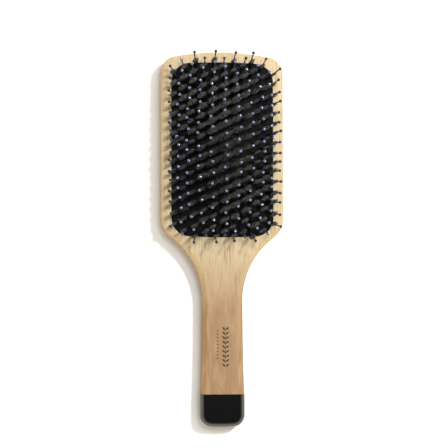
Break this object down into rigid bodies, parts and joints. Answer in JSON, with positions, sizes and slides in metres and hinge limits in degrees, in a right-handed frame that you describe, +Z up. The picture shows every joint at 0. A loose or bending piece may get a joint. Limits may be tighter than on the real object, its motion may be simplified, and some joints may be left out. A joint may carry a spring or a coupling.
{
  "type": "cushion hairbrush",
  "caption": "Wooden paddle hairbrush lying on its back: domed rubber cushion with ball-tipped quills in bristle tufts, dark lacquered end cap",
  "frame": {"origin": "centre of the bottom of the bounding box, under the middle of the brush, on the plane of its flat back", "axes": "+X across the brush, +Y from the handle to the head, +Z up through the bristles; the brush lies on its back"},
  "size_m": [0.0788, 0.24, 0.0436],
  "materials": {
    "beech": "satin varnish",
    "black_lacquer": "gloss",
    "black_rubber": "matt",
    "black_nylon": "gloss",
    "boar_bristle": "hair",
    "ring_plastic": "matt"
  },
  "bodies": {
    "paddle": {"wooden_body": "beech", "end_cap": "black_lacquer", "rubber_cushion": "black_rubber"},
    "seat_01": {"tuft_rings_column_01": "ring_plastic"},
    "bristles_01": {"quills_column_01": "black_nylon", "bristle_tufts_column_01": "boar_bristle"},
    "seat_02": {"tuft_rings_column_02": "ring_plastic"},
    "bristles_02": {"quills_column_02": "black_nylon", "bristle_tufts_column_02": "boar_bristle"},
    "seat_03": {"tuft_rings_column_03": "ring_plastic"},
    "bristles_03": {"quills_column_03": "black_nylon", "bristle_tufts_column_03": "boar_bristle"},
    "seat_04": {"tuft_rings_column_04": "ring_plastic"},
    "bristles_04": {"quills_column_04": "black_nylon", "bristle_tufts_column_04": "boar_bristle"},
    "seat_05": {"tuft_rings_column_05": "ring_plastic"},
    "bristles_05": {"quills_column_05": "black_nylon", "bristle_tufts_column_05": "boar_bristle"},
    "seat_06": {"tuft_rings_column_06": "ring_plastic"},
    "bristles_06": {"quills_column_06": "black_nylon", "bristle_tufts_column_06": "boar_bristle"},
    "seat_07": {"tuft_rings_column_07": "ring_plastic"},
    "bristles_07": {"quills_column_07": "black_nylon", "bristle_tufts_column_07": "boar_bristle"},
    "seat_08": {"tuft_rings_column_08": "ring_plastic"},
    "bristles_08": {"quills_column_08": "black_nylon", "bristle_tufts_column_08": "boar_bristle"},
    "seat_09": {"tuft_rings_column_09": "ring_plastic"},
    "bristles_09": {"quills_column_09": "black_nylon", "bristle_tufts_column_09": "boar_bristle"},
    "seat_10": {"tuft_rings_column_10": "ring_plastic"},
    "bristles_10": {"quills_column_10": "black_nylon", "bristle_tufts_column_10": "boar_bristle"},
    "seat_11": {"tuft_rings_column_11": "ring_plastic"},
    "bristles_11": {"quills_column_11": "black_nylon", "bristle_tufts_column_11": "boar_bristle"}
  },
  "joints": [
    {"name": "press_01", "type": "slide", "parent": "paddle", "child": "seat_01", "axis": [0, 0, -1], "range_m": [0, 0.0003352]},
    {"name": "sway_01", "type": "hinge", "parent": "seat_01", "child": "bristles_01", "pos_m": [-0.0285, 0.0568, 0.01306], "axis": [0, 1, 0], "range_deg": [-8, 8]},
    {"name": "press_02", "type": "slide", "parent": "paddle", "child": "seat_02", "axis": [0, 0, -1], "range_m": [0, 0.0008978]},
    {"name": "sway_02", "type": "hinge", "parent": "seat_02", "child": "bristles_02", "pos_m": [-0.0228, 0.0568, 0.01436], "axis": [0, 1, 0], "range_deg": [-8, 8]},
    {"name": "press_03", "type": "slide", "parent": "paddle", "child": "seat_03", "axis": [0, 0, -1], "range_m": [0, 0.00149]},
    {"name": "sway_03", "type": "hinge", "parent": "seat_03", "child": "bristles_03", "pos_m": [-0.0171, 0.0568, 0.01549], "axis": [0, 1, 0], "range_deg": [-8, 8]},
    {"name": "press_04", "type": "slide", "parent": "paddle", "child": "seat_04", "axis": [0, 0, -1], "range_m": [0, 0.00202]},
    {"name": "sway_04", "type": "hinge", "parent": "seat_04", "child": "bristles_04", "pos_m": [-0.0114, 0.0568, 0.01705], "axis": [0, 1, 0], "range_deg": [-8, 8]},
    {"name": "press_05", "type": "slide", "parent": "paddle", "child": "seat_05", "axis": [0, 0, -1], "range_m": [0, 0.00238]},
    {"name": "sway_05", "type": "hinge", "parent": "seat_05", "child": "bristles_05", "pos_m": [-0.0057, 0.0568, 0.01743], "axis": [0, 1, 0], "range_deg": [-8, 8]},
    {"name": "press_06", "type": "slide", "parent": "paddle", "child": "seat_06", "axis": [0, 0, -1], "range_m": [0, 0.0025], "stiffness_N_per_m": 250, "deforming": ["rubber_cushion"]},
    {"name": "sway_06", "type": "hinge", "parent": "seat_06", "child": "bristles_06", "pos_m": [0, 0.0568, 0.01822], "axis": [0, 1, 0], "range_deg": [-8, 8], "stiffness_Nm_per_rad": 0.02},
    {"name": "press_07", "type": "slide", "parent": "paddle", "child": "seat_07", "axis": [0, 0, -1], "range_m": [0, 0.00238]},
    {"name": "sway_07", "type": "hinge", "parent": "seat_07", "child": "bristles_07", "pos_m": [0.0057, 0.0568, 0.01743], "axis": [0, 1, 0], "range_deg": [-8, 8]},
    {"name": "press_08", "type": "slide", "parent": "paddle", "child": "seat_08", "axis": [0, 0, -1], "range_m": [0, 0.00202]},
    {"name": "sway_08", "type": "hinge", "parent": "seat_08", "child": "bristles_08", "pos_m": [0.0114, 0.0568, 0.01705], "axis": [0, 1, 0], "range_deg": [-8, 8]},
    {"name": "press_09", "type": "slide", "parent": "paddle", "child": "seat_09", "axis": [0, 0, -1], "range_m": [0, 0.00149]},
    {"name": "sway_09", "type": "hinge", "parent": "seat_09", "child": "bristles_09", "pos_m": [0.0171, 0.0568, 0.01549], "axis": [0, 1, 0], "range_deg": [-8, 8]},
    {"name": "press_10", "type": "slide", "parent": "paddle", "child": "seat_10", "axis": [0, 0, -1], "range_m": [0, 0.0008978]},
    {"name": "sway_10", "type": "hinge", "parent": "seat_10", "child": "bristles_10", "pos_m": [0.0228, 0.0568, 0.01436], "axis": [0, 1, 0], "range_deg": [-8, 8]},
    {"name": "press_11", "type": "slide", "parent": "paddle", "child": "seat_11", "axis": [0, 0, -1], "range_m": [0, 0.0003352]},
    {"name": "sway_11", "type": "hinge", "parent": "seat_11", "child": "bristles_11", "pos_m": [0.0285, 0.0568, 0.01306], "axis": [0, 1, 0], "range_deg": [-8, 8]}
  ],
  "couplings": [
    {"joint": "press_01", "follows": "press_06", "ratio": 0.1333},
    {"joint": "sway_01", "follows": "sway_06", "ratio": 1},
    {"joint": "press_02", "follows": "press_06", "ratio": 0.3583},
    {"joint": "sway_02", "follows": "sway_06", "ratio": 1},
    {"joint": "press_03", "follows": "press_06", "ratio": 0.597},
    {"joint": "sway_03", "follows": "sway_06", "ratio": 1},
    {"joint": "press_04", "follows": "press_06", "ratio": 0.8065},
    {"joint": "sway_04", "follows": "sway_06", "ratio": 1},
    {"joint": "press_05", "follows": "press_06", "ratio": 0.9494},
    {"joint": "sway_05", "follows": "sway_06", "ratio": 1},
    {"joint": "press_07", "follows": "press_06", "ratio": 0.9494},
    {"joint": "sway_07", "follows": "sway_06", "ratio": 1},
    {"joint": "press_08", "follows": "press_06", "ratio": 0.8065},
    {"joint": "sway_08", "follows": "sway_06", "ratio": 1},
    {"joint": "press_09", "follows": "press_06", "ratio": 0.597},
    {"joint": "sway_09", "follows": "sway_06", "ratio": 1},
    {"joint": "press_10", "follows": "press_06", "ratio": 0.3583},
    {"joint": "sway_10", "follows": "sway_06", "ratio": 1},
    {"joint": "press_11", "follows": "press_06", "ratio": 0.1333},
    {"joint": "sway_11", "follows": "sway_06", "ratio": 1}
  ]
}
